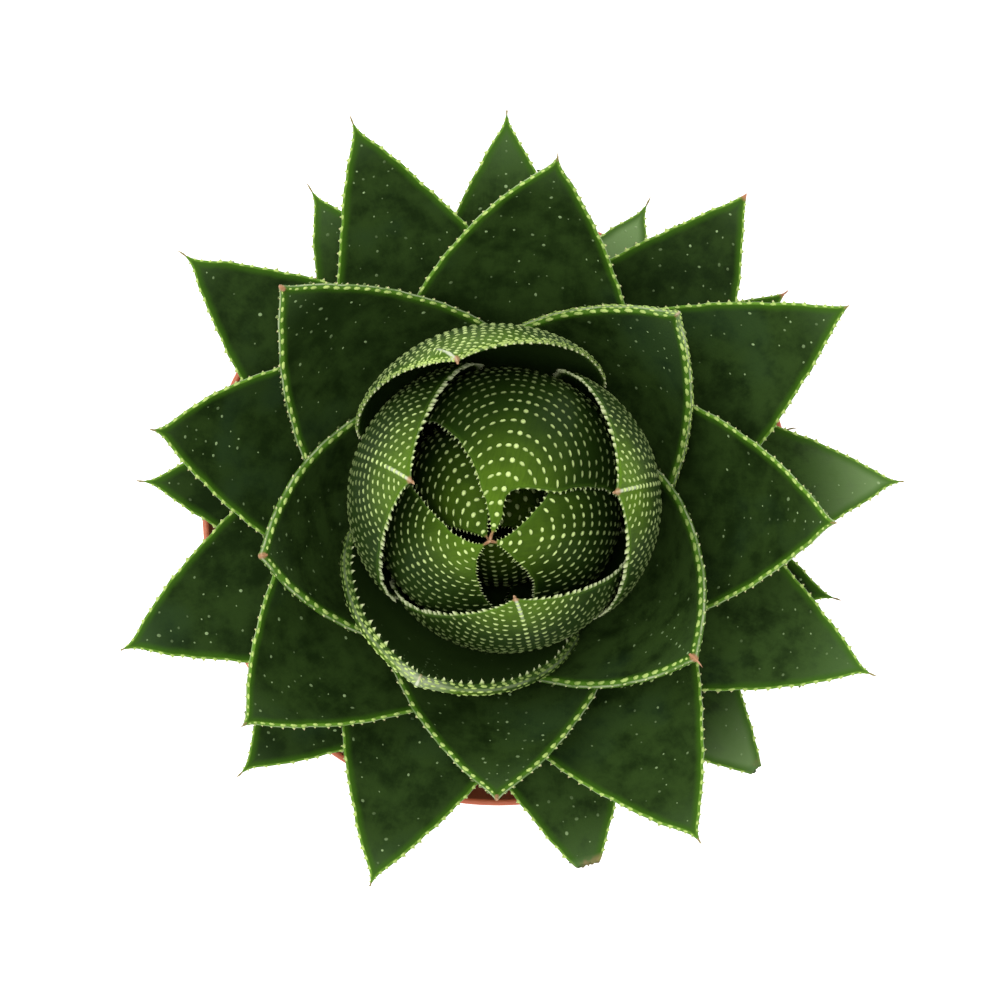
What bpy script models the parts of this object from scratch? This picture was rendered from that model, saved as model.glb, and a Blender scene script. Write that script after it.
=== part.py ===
"""Aloe with a dense rosette of toothed leaves, in a round plastic pot of soil.

The origin is the centre of the pot's base, on the surface it stands on. +Z is up.
Sizes below are in millimetres and degrees, and are written to the meshes in metres.

Leaf 1 is the youngest, at the heart of the bud, and leaf 44 the oldest, just above
the soil. Each leaf is a patch of a shell turned round the plant's axis. The shells lie
one inside the next, so the leaves nest without touching.
"""

import math

import bmesh
import bpy
import numpy as np
from mathutils import Matrix, Vector, noise

MM = 0.001
GAP = 0.3
SHARP_ANGLE = 40.0

# Pot: a 12 cm round nursery pot with a collar, and a raised ring in its base for the holes
POT_HEIGHT = 100.0
RIM_RADIUS = 59.2
RIM_ROUNDING = 0.5
COLLAR_HEIGHT = 13.0
COLLAR_STEP = 1.8
COLLAR_TAPER = 2.0
FOOT_RADIUS = 43.0
FOOT_ROUNDING = 1.2
WALL = 1.3
DRAIN_RISE = 3.0
DRAIN_INNER, DRAIN_OUTER = 18.0, 34.0
DRAIN_SLOPE = 1.0
DRAIN_HOLES = 6
DRAIN_HOLE_RADIUS = 4.0
DRAIN_HOLE_SIDES = 12
POT_SIDES = 36

# Soil: a plug that fills the pot to below its collar, with a plain hole for the stem
SOIL_SLACK = 0.4
SOIL_EDGE_Z = 85.5
SOIL_MIDDLE_Z = 90.0
SOIL_RINGS = 5
SOIL_ROUGHNESS = 0.7
SOIL_CLOD = 11.0
HOLE_BOTTOM_Z = 70.0
STEM_SLACK = 0.5

# The plant stands a little off the pot's centre
PLANT_X, PLANT_Y = 0.8, 1.1

# Stem: a short upright stem, thickest at the oldest leaf
STEM_SIDES = 24
STEM_RINGS = 7
STEM_TOP_Z = 150.0
STEM_SHOULDER_Z = 148.5
STEM_ROUNDING = 2.5

# Leaves: a spiral of one leaf each 137.5 degrees, clockwise from above
LEAVES = 44
YOUNG_LEAVES = 16
DIVERGENCE = 137.508
FIRST_AZIMUTH = 171.56
COLUMNS = (-0.78, -0.42, 0.0, 0.42, 0.78)
ROWS = 8
LAST_ROW = 0.9
CURVE_STEPS = 200
SMALLEST_RADIUS = 0.8

# Each leaf's section: a shallow channel above, a rounded back, thin at its base and its tip
CHANNEL = 0.8
BLUNTNESS = 2.0
THIN_TIP, TIP_THINNING = 0.22, 0.75
THIN_BASE, BASE_THICKENING = 0.5, 1.7
TIP_NARROWING, NARROWING_AT = 0.22, 8

# Teeth: each leans toward the tip, and they are smaller near it
TOOTH_HEIGHT = 1.1
TOOTH_WIDTH = 1.5
TOOTH_POINT = 0.6
FIRST_TOOTH, LAST_TOOTH = 0.1, 0.93
SMALLEST_TOOTH, TOOTH_GROWTH = 0.35, 4.0
TEETH = 11
TEETH_OF_SMALL = 7
SMALL_LEAF = 35.0

# How the leaves change with age, as (leaf, value), with smooth steps between
BASE_Z = ((1, 146.0), (44, 97.0))
STEM_RADIUS = ((1, 3.0), (8, 6.0), (18, 9.5), (44, 12.5))
BASE_LEAN = ((1, 40), (3, 26), (5, 16), (7, 9), (9, 7), (11, 10.5), (12, 12), (13, 15), (14, 17),
             (15, 18), (17, 22), (20, 24), (24, 22), (28, 18), (33, 14), (38, 10), (44, 7))
TIP_LEAN = ((1, 140), (3, 140), (5, 143), (7, 147), (8, 117), (9, 116), (10, 110), (11, 85),
            (12, 104), (13, 69.5), (14, 66), (15, 58), (16, 56), (17, 54), (20, 48), (24, 34),
            (28, 24), (33, 18), (38, 13.5), (44, 9))
LATE_BEND = ((1, 1.0), (17, 1.0), (24, 1.2), (44, 1.3))
EARLY_BEND = ((1, 1.6), (7, 1.6), (8, 2.0), (17, 2.0), (20, 1.6), (24, 1.2), (28, 1.0), (44, 1.0))
LENGTH = ((1, 17), (3, 43), (5, 65), (7, 70.6), (8, 67.5), (9, 69.5), (10, 66.5), (12, 74))
HALF_WIDTH = ((1, 9), (3, 18), (5, 26), (7, 30), (8, 27.4), (10, 26.5), (17, 26), (21, 24.5),
              (25, 22.5), (33, 21), (38, 18.5), (44, 15))
WIDEST_AT = ((1, 0.42), (7, 0.42), (10, 0.48), (14, 0.42), (20, 0.36), (44, 0.36))
FULLNESS = ((1, 1.1), (7, 1.1), (9, 1.5), (12, 1.4), (13, 1.15), (17, 1.15), (22, 1.05), (44, 1.0))
TAPER = ((1, 1.3), (3, 1.2), (7, 1.35), (8, 1.0), (44, 1.0))
THICKNESS = ((1, 1.6), (5, 2.0), (8, 2.2), (14, 2.8), (20, 4.0), (28, 4.6), (44, 4.4))
BASE_HALF_ANGLE = ((1, 50), (8, 46), (14, 42), (44, 42))

# Each open leaf's tip: how far it reaches from the axis, and how far it is turned from the spiral
TIP_REACH = {11: 33.5, 13: 43.7, 14: 44, 15: 46.8, 16: 53, 17: 56, 18: 60, 19: 61.5, 20: 64,
             21: 71, 22: 66, 23: 73.5, 24: 75, 25: 77, 26: 76.5, 27: 77, 28: 75, 29: 75.8,
             30: 77.5, 31: 77, 32: 72.5, 33: 76, 34: 75, 35: 70.5, 36: 69, 37: 58, 38: 72.5,
             39: 68.5, 40: 60, 41: 66.5, 42: 54, 43: 54, 44: 59.5}
TURN = {3: 10, 4: 12, 5: 5, 6: 9, 7: 9, 8: -8, 9: 9, 10: -6, 11: 8, 12: 3, 14: 8, 15: 1, 17: 4, 18: 3, 19: 4,
        20: 2, 21: -1, 22: 4, 23: 3.5, 24: 2, 26: 1.5, 27: 4.5, 28: -7, 29: 2, 30: -2, 31: -3,
        32: -3, 33: -2, 36: -2, 37: -3, 38: -2.5, 39: -2, 41: -7, 44: -4}

# Some leaves are fuller on one side: how much wider, on the anticlockwise side and on the clockwise
FULLER = {7: (0, 5), 18: (1.5, 0), 19: (1, 2), 20: (4.8, 0), 21: (0, 1.2), 22: (0, 4.7),
          23: (1.5, 0), 26: (0, 3.2), 27: (0, 3.5), 28: (0, 3.7)}

# Two old leaves have lost their tips, at this share of their length
BROKEN_AT = {29: 0.92, 34: 0.94}

# The bud's heart leans off the axis
BUD_SHIFT = (-2.2, -6.3, 0.0)
BUD_RADIUS = 13.0
BUD_LOW_Z, BUD_HIGH_Z = 148.0, 186.0


def smooth(table, at):
    """The value of a table at a leaf number, on a monotone cubic through its points."""
    x = np.array([point[0] for point in table], float)
    y = np.array([point[1] for point in table], float)
    step = np.diff(x)
    slope = np.diff(y) / step
    tangent = np.concatenate([slope[:1], np.zeros(len(x) - 2), slope[-1:]])
    for i in range(1, len(x) - 1):
        if slope[i - 1] * slope[i] > 0:
            left, right = 2 * step[i] + step[i - 1], step[i] + 2 * step[i - 1]
            tangent[i] = (left + right) / (left / slope[i - 1] + right / slope[i])
    at = min(max(float(at), x[0]), x[-1])
    i = min(int(np.searchsorted(x, at, side="right")) - 1, len(x) - 2)
    t = (at - x[i]) / step[i]
    return float(
        (2 * t**3 - 3 * t**2 + 1) * y[i] + (t**3 - 2 * t**2 + t) * step[i] * tangent[i]
        + (3 * t**2 - 2 * t**3) * y[i + 1] + (t**3 - t**2) * step[i] * tangent[i + 1]
    )


def stem_radius(z):
    """The stem's radius at a height, from the leaf whose base is there."""
    (young, top), (old, bottom) = BASE_Z
    leaf = young + (top - z) / (top - bottom) * (old - young)
    return smooth(STEM_RADIUS, leaf)


def leaf_shell(leaf, share):
    """Radius, height and lean of a leaf's midline at shares of its length, and that length."""
    fine = np.linspace(0, 1, CURVE_STEPS + 1)
    low, high = smooth(BASE_LEAN, leaf), smooth(TIP_LEAN, leaf)
    bent = 1 - (1 - fine ** smooth(LATE_BEND, leaf)) ** smooth(EARLY_BEND, leaf)
    lean = np.radians(low + (high - low) * bent)
    out = (np.cos(lean)[1:] + np.cos(lean)[:-1]) / 2
    up = (np.sin(lean)[1:] + np.sin(lean)[:-1]) / 2
    start = smooth(STEM_RADIUS, leaf) + GAP
    if leaf in TIP_REACH:
        length = (TIP_REACH[leaf] - start) / out.mean()
    else:
        length = smooth(LENGTH, leaf)
    piece = length / len(out)
    radius = start + piece * np.concatenate([[0], np.cumsum(out)])
    height = smooth(BASE_Z, leaf) + piece * np.concatenate([[0], np.cumsum(up)])
    return (
        np.interp(share, fine, radius),
        np.interp(share, fine, height),
        np.interp(share, fine, lean),
        length,
    )


def half_width(leaf, share):
    """Half the leaf's width: it clasps the stem, is widest near a third, and ends in a drawn-out tip."""
    widest = smooth(HALF_WIDTH, leaf)
    clasp = (smooth(STEM_RADIUS, leaf) + GAP) * math.radians(smooth(BASE_HALF_ANGLE, leaf))
    widest_at = smooth(WIDEST_AT, leaf)
    if share < widest_at:
        return clasp + (widest - clasp) * math.sin(math.pi / 2 * share / widest_at)
    outer = (share - widest_at) / (1 - widest_at)
    outline = (1 - outer ** smooth(FULLNESS, leaf)) ** smooth(TAPER, leaf)
    return widest * outline * (1 - TIP_NARROWING * outer**NARROWING_AT)


def side_width(leaf, share, across):
    """The leaf's width from its midline to the margin on the side of a place across it."""
    fuller = FULLER.get(leaf, (0, 0))[across < 0]
    return half_width(leaf, share) + fuller * math.sin(math.pi * share)


def thickness(leaf, share):
    """The leaf's thickness along its middle: thin where it clasps the stem, and thin at the tip."""
    toward_tip = THIN_TIP + (1 - THIN_TIP) * max(1 - share, 0) ** TIP_THINNING
    return smooth(THICKNESS, leaf) * toward_tip * min(THIN_BASE + BASE_THICKENING * share, 1)


def leaf_azimuth(leaf):
    """The direction a leaf points in, on the spiral with its own small turn."""
    return math.radians(FIRST_AZIMUTH - DIVERGENCE * (leaf - 1) + TURN.get(leaf, 0))


def bud_lean(leaf, radius, height):
    """How far the heart of the bud leans sideways at a place, in the leaf's own frame."""
    rise = min(max((height - BUD_LOW_Z) / (BUD_HIGH_Z - BUD_LOW_Z), 0), 1)
    fade = rise * rise * (3 - 2 * rise) * math.exp(-((radius / BUD_RADIUS) ** 2))
    return Matrix.Rotation(-leaf_azimuth(leaf), 3, "Z") @ Vector(BUD_SHIFT) * fade


def leaf_point(leaf, share, across, under=False, tooth=0.0):
    """A point of a leaf's upper or under side, with the leaf pointing along +X.

    Share runs from the clasping base to the tip, and across from -1 to 1 between the margins.
    """
    radius, height, lean, _ = (float(value) for value in leaf_shell(leaf, share))
    sideways = side_width(leaf, share, across) * across + math.copysign(tooth, across)
    angle = sideways / max(radius, SMALLEST_RADIUS)
    inwards = -CHANNEL * math.sin(math.pi * share) * (1 - across**2)
    if under:
        inwards -= thickness(leaf, share) * (1 - abs(across) ** BLUNTNESS)
    z = height + math.cos(lean) * inwards
    r = radius - math.sin(lean) * inwards
    if share == 0:
        r = stem_radius(z) + STEM_SLACK
    place = Vector((r * math.cos(angle), r * math.sin(angle), z))
    return (place + bud_lean(leaf, r, z)) * MM


def margin_stations(leaf, length, end):
    """Shares along the margin, and how far it stands out there: a root, a point and a root for each tooth."""
    count = TEETH_OF_SMALL if length < SMALL_LEAF else TEETH
    half = TOOTH_WIDTH / 2 / length
    stations = [(0.0, 0.0)]
    for centre in np.linspace(FIRST_TOOTH, LAST_TOOTH, count) * end:
        size = TOOTH_HEIGHT * min(1, SMALLEST_TOOTH + TOOTH_GROWTH * (1 - centre))
        stations += [(centre - half, 0.0), (centre + TOOTH_POINT * half, size), (centre + half, 0.0)]
    return stations


def fill_strip(mesh, inner, outer, flip):
    """Triangles between two rows of (share, vertex), taking the next vertex by share."""
    i = j = 0
    while i < len(inner) - 1 or j < len(outer) - 1:
        step_inner = j == len(outer) - 1 or (
            i < len(inner) - 1 and inner[i + 1][0] <= outer[j + 1][0]
        )
        third = inner[i + 1][1] if step_inner else outer[j + 1][1]
        corners = [inner[i][1], third, outer[j][1]]
        if len(set(corners)) == 3:
            mesh.faces.new(corners[::-1] if flip else corners)
        if step_inner:
            i += 1
        else:
            j += 1


def fill_end(mesh, upper, under, flip):
    """The flat end between the upper and the under side, which share their first and last vertex."""
    for j in range(len(upper) - 1):
        corners = [upper[j], upper[j + 1], under[j + 1], under[j]]
        corners = list(dict.fromkeys(corners))
        mesh.faces.new(corners[::-1] if flip else corners)


def make_leaf(leaf, material):
    """One leaf: channelled above, rounded below, with teeth along both margins."""
    broken = leaf in BROKEN_AT
    end = BROKEN_AT.get(leaf, 1.0)
    length = leaf_shell(leaf, 0.0)[3]
    shares = np.linspace(0, end if broken else LAST_ROW, ROWS)
    mesh = bmesh.new()

    def vertex(*where, **options):
        return mesh.verts.new(leaf_point(leaf, *where, **options))

    sides = [
        [[vertex(float(s), across, under=under) for across in COLUMNS] for s in shares]
        for under in (False, True)
    ]
    margins = [
        [(s, vertex(s, side, tooth=out)) for s, out in margin_stations(leaf, length, end)]
        for side in (-1.0, 1.0)
    ]
    if broken:
        for margin, side in zip(margins, (-1.0, 1.0)):
            margin.append((end, vertex(end, side)))
    else:
        tip = (1.0, vertex(1.0, 0.0))
        for margin in margins:
            margin.append(tip)
    for grid, under in zip(sides, (False, True)):
        for row, next_row in zip(grid, grid[1:]):
            for j in range(len(COLUMNS) - 1):
                corners = [row[j], next_row[j], next_row[j + 1], row[j + 1]]
                mesh.faces.new(corners if under else corners[::-1])
        if not broken:
            for j in range(len(COLUMNS) - 1):
                corners = [grid[-1][j], tip[1], grid[-1][j + 1]]
                mesh.faces.new(corners if under else corners[::-1])
        for margin, column in zip(margins, (0, len(COLUMNS) - 1)):
            inner = [(float(s), row[column]) for s, row in zip(shares, grid)]
            if not broken:
                inner.append(tip)
            fill_strip(mesh, inner, margin, flip=(column == 0) != under)
    for row, index, flip in ((0, 0, False), (-1, -1, True)):
        if row == 0 or broken:
            ends = [
                [margins[0][index][1], *grid[row], margins[1][index][1]] for grid in sides
            ]
            fill_end(mesh, *ends, flip)
    thing = finished(mesh, f"leaf_{leaf:02d}", material)
    thing.rotation_euler.z = leaf_azimuth(leaf)
    return thing


def finished(mesh, name, material):
    """Writes a bmesh to a new object, with its faces pointing out and smooth."""
    bmesh.ops.triangulate(mesh, faces=mesh.faces)
    bmesh.ops.recalc_face_normals(mesh, faces=mesh.faces)
    data = bpy.data.meshes.new(name)
    mesh.to_mesh(data)
    mesh.free()
    data.materials.append(material)
    data.shade_smooth()
    data.set_sharp_from_angle(angle=math.radians(SHARP_ANGLE))
    thing = bpy.data.objects.new(name, data)
    bpy.context.scene.collection.objects.link(thing)
    return thing


def turned(profile, sides):
    """A bmesh turned round Z from (radius, height) points that start and end on the axis."""
    mesh = bmesh.new()
    points = [mesh.verts.new((r * MM, 0, z * MM)) for r, z in profile]
    edges = [mesh.edges.new(pair) for pair in zip(points, points[1:])]
    bmesh.ops.spin(
        mesh, geom=points + edges, cent=(0, 0, 0), axis=(0, 0, 1),
        angle=2 * math.pi, steps=sides, use_merge=True,
    )
    bmesh.ops.remove_doubles(mesh, verts=mesh.verts, dist=0.01 * MM)
    return mesh


def pot_outside():
    """The pot's outer profile, from the base's centre up to the rim."""
    collar_z = POT_HEIGHT - COLLAR_HEIGHT
    collar = RIM_RADIUS - COLLAR_TAPER
    return [
        (0, 0), (DRAIN_INNER - DRAIN_SLOPE, 0), (DRAIN_INNER, DRAIN_RISE),
        (DRAIN_OUTER, DRAIN_RISE), (DRAIN_OUTER + DRAIN_SLOPE, 0),
        (FOOT_RADIUS - FOOT_ROUNDING, 0), (FOOT_RADIUS, FOOT_ROUNDING),
        (collar - COLLAR_STEP, collar_z - DRAIN_SLOPE), (collar, collar_z),
        (RIM_RADIUS, POT_HEIGHT - 2 * RIM_ROUNDING), (RIM_RADIUS - RIM_ROUNDING, POT_HEIGHT),
    ]


def pot_inside(slack=0.0):
    """The pot's inner profile, from the base's centre up to the rim, and slack further in."""
    collar_z = POT_HEIGHT - COLLAR_HEIGHT
    collar = RIM_RADIUS - COLLAR_TAPER - WALL
    floor = WALL + slack
    foot = FOOT_RADIUS - WALL - slack
    inner, outer = DRAIN_INNER - WALL - slack, DRAIN_OUTER + WALL + slack
    return [
        (0, floor), (inner, floor), (inner + DRAIN_SLOPE, DRAIN_RISE + floor),
        (outer - DRAIN_SLOPE, DRAIN_RISE + floor), (outer, floor),
        (foot - RIM_ROUNDING, floor), (foot, floor + FOOT_ROUNDING),
        (collar - COLLAR_STEP - slack, collar_z - RIM_ROUNDING),
        (collar - slack, collar_z + RIM_ROUNDING),
        (RIM_RADIUS - WALL, POT_HEIGHT - RIM_ROUNDING),
        (RIM_RADIUS - WALL + RIM_ROUNDING / 2, POT_HEIGHT),
    ]


def make_pot(material):
    """The pot, with drainage holes through the raised ring of its base."""
    pot = finished(turned(pot_outside() + pot_inside()[::-1], POT_SIDES), "pot", material)
    cutters = bmesh.new()
    ring = (DRAIN_INNER + DRAIN_OUTER) / 2
    for i in range(DRAIN_HOLES):
        turn = 2 * math.pi * (i + 0.5) / DRAIN_HOLES
        made = bmesh.ops.create_cone(
            cutters, cap_ends=True, segments=DRAIN_HOLE_SIDES, radius1=DRAIN_HOLE_RADIUS * MM,
            radius2=DRAIN_HOLE_RADIUS * MM, depth=3 * DRAIN_RISE * MM,
        )
        place = Vector((ring * math.cos(turn), ring * math.sin(turn), DRAIN_RISE)) * MM
        bmesh.ops.translate(cutters, verts=made["verts"], vec=place)
    cutter = finished(cutters, "drain_cutter", material)
    cutter.hide_render = True
    cutter.display_type = "WIRE"
    cut = pot.modifiers.new("drain_holes", "BOOLEAN")
    cut.object = cutter
    cut.operation = "DIFFERENCE"
    return pot


def make_soil(material):
    """The soil, clear of the pot's inside, mounded to the plant and rough on top."""
    under = pot_inside(SOIL_SLACK)[:7]
    (low_r, low_z), (high_r, high_z) = pot_inside(SOIL_SLACK)[6:8]
    edge = low_r + (high_r - low_r) * (SOIL_EDGE_Z - low_z) / (high_z - low_z)
    hole = stem_radius(BASE_Z[1][1]) + STEM_SLACK
    top = []
    for share in np.linspace(0, 1, SOIL_RINGS):
        mound = SOIL_EDGE_Z + (SOIL_MIDDLE_Z - SOIL_EDGE_Z) * math.sin(share * math.pi / 2)
        top.append((edge + (hole - edge) * share, mound))
    mesh = turned(under + top + [(hole, HOLE_BOTTOM_Z), (0, HOLE_BOTTOM_Z)], POT_SIDES)
    off_centre = Vector((PLANT_X, PLANT_Y, 0)) * MM
    for vertex in mesh.verts:
        radius = vertex.co.xy.length / MM
        inward = min((edge - radius) / (edge - hole), 1)
        if vertex.co.z > SOIL_EDGE_Z * MM and 0 < inward < 1:
            clod = vertex.co / (SOIL_CLOD * MM)
            vertex.co.z += SOIL_ROUGHNESS * MM * noise.noise(clod)
        if vertex.co.z > (HOLE_BOTTOM_Z - GAP) * MM and inward > 0:
            vertex.co += off_centre * inward
    return finished(mesh, "soil", material)


def make_stem(material):
    """The stem, from its foot in the soil to the growing point inside the bud."""
    (_, top), (_, bottom) = BASE_Z
    foot = stem_radius(bottom)
    foot_z = HOLE_BOTTOM_Z + GAP
    profile = [(0, foot_z), (foot - STEM_ROUNDING, foot_z), (foot, foot_z + STEM_ROUNDING)]
    profile += [(stem_radius(z), z) for z in np.linspace(bottom - STEM_ROUNDING, top, STEM_RINGS)]
    profile += [(stem_radius(top) * 0.7, STEM_SHOULDER_Z), (0, STEM_TOP_Z)]
    return finished(turned(profile, STEM_SIDES), "stem", material)


def finish_of(name, colour, roughness):
    """A plain coloured material that isn't metal."""
    material = bpy.data.materials.new(name)
    material.use_nodes = True
    shader = material.node_tree.nodes["Principled BSDF"]
    shader.inputs["Base Color"].default_value = (*colour, 1)
    shader.inputs["Roughness"].default_value = roughness
    shader.inputs["Metallic"].default_value = 0.0
    return material


def main():
    for thing in list(bpy.data.objects):
        bpy.data.objects.remove(thing)
    make_pot(finish_of("terracotta_plastic", (0.53, 0.13, 0.05), 0.4))
    make_soil(finish_of("potting_soil", (0.03, 0.018, 0.01), 0.95))
    young = finish_of("young_leaf_green", (0.07, 0.14, 0.03), 0.45)
    old = finish_of("old_leaf_green", (0.018, 0.045, 0.014), 0.42)
    pieces = [make_stem(finish_of("stem_pale_green", (0.30, 0.36, 0.16), 0.6))]
    for leaf in range(1, LEAVES + 1):
        pieces.append(make_leaf(leaf, young if leaf <= YOUNG_LEAVES else old))
    plant = bpy.data.objects.new("plant", None)
    plant.location = (PLANT_X * MM, PLANT_Y * MM, 0)
    bpy.context.scene.collection.objects.link(plant)
    for piece in pieces:
        piece.parent = plant


main()
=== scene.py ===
import math

import bmesh
import bpy
import numpy as np
from mathutils import Matrix, Vector, noise


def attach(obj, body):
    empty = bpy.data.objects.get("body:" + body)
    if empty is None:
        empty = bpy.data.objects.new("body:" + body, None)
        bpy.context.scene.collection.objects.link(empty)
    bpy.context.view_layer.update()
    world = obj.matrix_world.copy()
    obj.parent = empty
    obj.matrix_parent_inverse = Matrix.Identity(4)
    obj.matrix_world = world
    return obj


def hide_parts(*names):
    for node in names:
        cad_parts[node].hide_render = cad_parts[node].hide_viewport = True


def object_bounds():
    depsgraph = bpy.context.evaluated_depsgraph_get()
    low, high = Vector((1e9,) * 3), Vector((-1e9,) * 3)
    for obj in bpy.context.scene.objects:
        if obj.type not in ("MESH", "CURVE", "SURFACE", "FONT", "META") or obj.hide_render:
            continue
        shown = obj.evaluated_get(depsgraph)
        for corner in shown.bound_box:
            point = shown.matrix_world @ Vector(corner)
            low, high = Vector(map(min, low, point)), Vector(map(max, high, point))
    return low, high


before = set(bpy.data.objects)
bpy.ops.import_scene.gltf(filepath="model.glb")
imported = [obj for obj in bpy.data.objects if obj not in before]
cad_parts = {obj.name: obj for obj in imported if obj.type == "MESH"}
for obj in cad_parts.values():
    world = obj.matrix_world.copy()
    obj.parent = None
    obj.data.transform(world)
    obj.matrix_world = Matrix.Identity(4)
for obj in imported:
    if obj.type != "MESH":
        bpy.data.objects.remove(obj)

cadBounds = [list(corner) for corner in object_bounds()]
mm = 0.001

def placed(name, data):
    thing = bpy.data.objects.new(name, data)
    bpy.context.scene.collection.objects.link(thing)
    return thing

# Shader wiring: a socket that can stand in a formula, and one class that makes the nodes


class Wire:
    def __init__(self, tree, socket):
        self.tree = tree
        self.socket = socket

    def maths(self, operation, *values):
        node = self.tree.nodes.new("ShaderNodeMath")
        node.operation = operation
        for slot, value in zip(node.inputs, values):
            plug(self.tree, slot, value)
        return Wire(self.tree, node.outputs[0])

    def __add__(self, other):
        return self.maths("ADD", self, other)

    def __radd__(self, other):
        return self.maths("ADD", other, self)

    def __sub__(self, other):
        return self.maths("SUBTRACT", self, other)

    def __rsub__(self, other):
        return self.maths("SUBTRACT", other, self)

    def __mul__(self, other):
        return self.maths("MULTIPLY", self, other)

    def __pow__(self, other):
        return self.maths("POWER", self, other)

    def __abs__(self):
        return self.maths("ABSOLUTE", self)


def plug(tree, slot, value):
    if isinstance(value, Wire):
        tree.links.new(value.socket, slot)
    elif slot.type == "RGBA":
        slot.default_value = (*value, 1.0)
    else:
        slot.default_value = value


class Finish:
    def __init__(self, name):
        self.material = bpy.data.materials.new(name)
        self.material.use_nodes = True
        self.tree = self.material.node_tree
        self.shader = self.tree.nodes["Principled BSDF"]

    def node(self, kind, settings=None, sockets=None, out=0):
        made = self.tree.nodes.new(kind)
        for key, value in (settings or {}).items():
            setattr(made, key, value)
        for key, value in (sockets or {}).items():
            plug(self.tree, made.inputs[key], value)
        return Wire(self.tree, made.outputs[out])

    def attribute(self, name):
        return self.node("ShaderNodeAttribute", {"attribute_name": name}, out="Fac")

    def objectPlace(self):
        return self.node("ShaderNodeTexCoord", out="Object")

    def vector(self, x, y, z):
        return self.node("ShaderNodeCombineXYZ", {}, {"X": x, "Y": y, "Z": z})

    def noise(self, scale, vector, detail=2.0, roughness=0.5):
        sockets = {"Scale": scale, "Vector": vector, "Detail": detail, "Roughness": roughness}
        return self.node("ShaderNodeTexNoise", {}, sockets)

    def step(self, value, low, high):
        sockets = {"Value": value, "From Min": low, "From Max": high}
        return self.node("ShaderNodeMapRange", {"interpolation_type": "SMOOTHSTEP"}, sockets)

    def mix(self, share, first, second):
        return self.node("ShaderNodeMix", {"data_type": "RGBA"}, {0: share, 6: first, 7: second}, out=2)

    def bump(self, height, distance, strength=1.0):
        return self.node("ShaderNodeBump", {}, {"Height": height, "Distance": distance, "Strength": strength})

    def paint(self, sockets):
        for key, value in sockets.items():
            plug(self.tree, self.shader.inputs[key], value)
        return self.material


# Leaves: the same spiral and the same nested shells as the CAD leaves, in millimetres

plant = {
    "x": 0.8, "y": 1.1, "leaves": 44, "turnEachLeaf": 137.508, "firstDirection": 171.56,
    "gap": 0.3, "stemGap": 0.5, "channel": 0.8, "tipNarrowing": 0.22, "narrowingAt": 8,
    "thinTip": 0.22, "tipThinning": 0.75, "thinBase": 0.5, "baseThickening": 1.7,
    "bluntAwn": 0.1, "waves": (13.0, 6.5, 3.9), "waveHeight": 0.07, "tipBendReach": 9, "foldReach": 12,
    "lastUpright": 17, "lastStudded": 34, "firstFreckled": 8, "beadedMargins": (11, 12, 15), "frosted": (11, 15),
}
leafForm = {  # (leaf number, value), with smooth steps between
    "baseHeight": ((1, 146.0), (44, 97.0)),
    "stemRadius": ((1, 3.0), (8, 6.0), (18, 9.5), (44, 12.5)),
    "baseLean": ((1, 40), (3, 26), (5, 16), (7, 9), (9, 7), (11, 10.5), (12, 12), (13, 15), (14, 17),
                 (15, 18), (17, 22), (20, 24), (24, 22), (28, 18), (33, 14), (38, 10), (44, 7)),
    "tipLean": ((1, 140), (3, 140), (5, 143), (7, 147), (8, 117), (9, 116), (10, 110), (11, 85),
                (12, 104), (13, 69.5), (14, 66), (15, 58), (16, 56), (17, 54), (20, 48), (24, 34),
                (28, 24), (33, 18), (38, 13.5), (44, 9)),
    "lateBend": ((1, 1.0), (17, 1.0), (24, 1.2), (44, 1.3)),
    "earlyBend": ((1, 1.6), (7, 1.6), (8, 2.0), (17, 2.0), (20, 1.6), (24, 1.2), (28, 1.0), (44, 1.0)),
    "length": ((1, 17), (3, 43), (5, 65), (7, 70.6), (8, 67.5), (9, 69.5), (10, 66.5), (12, 74)),
    "halfWidth": ((1, 9), (3, 18), (5, 26), (7, 30), (8, 27.4), (10, 26.5), (17, 26), (21, 24.5),
                  (25, 22.5), (33, 21), (38, 18.5), (44, 15)),
    "widestAt": ((1, 0.42), (7, 0.42), (10, 0.48), (14, 0.42), (20, 0.36), (44, 0.36)),
    "fullness": ((1, 1.1), (7, 1.1), (9, 1.5), (12, 1.4), (13, 1.15), (17, 1.15), (22, 1.05), (44, 1.0)),
    "taper": ((1, 1.3), (3, 1.2), (7, 1.35), (8, 1.0), (44, 1.0)),
    "thickness": ((1, 1.6), (5, 2.0), (8, 2.2), (14, 2.8), (20, 4.0), (28, 4.6), (44, 4.4)),
    "clasp": ((1, 50), (8, 46), (14, 42), (44, 42)),
    # how blunt the margin is, and where round it the teeth stand: 0 on the upper face, 1 on the back
    "margin": ((1, 0.6), (7, 0.7), (10, 0.8), (11, 2.2), (12, 1.0), (13, 1.7), (14, 1.7), (15, 2.0),
               (16, 1.3), (17, 1.6), (18, 1.2), (24, 1.0), (44, 0.9)),
    "toothTurn": ((1, 0.5), (10, 0.5), (11, 0.16), (12, 0.42), (13, 0.55), (44, 0.5)),
    "beadTurn": ((1, 0.5), (10, 0.5), (11, 0.3), (12, 0.5), (13, 0.2), (17, 0.22), (22, 0.27), (44, 0.27)),
    "awn": ((1, 0.2), (10, 0.25), (17, 0.3), (22, 0.66), (44, 0.74)),
    "awnLength": ((1, 3.4), (17, 3.4), (22, 4.4), (44, 4.4)),
}
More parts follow.
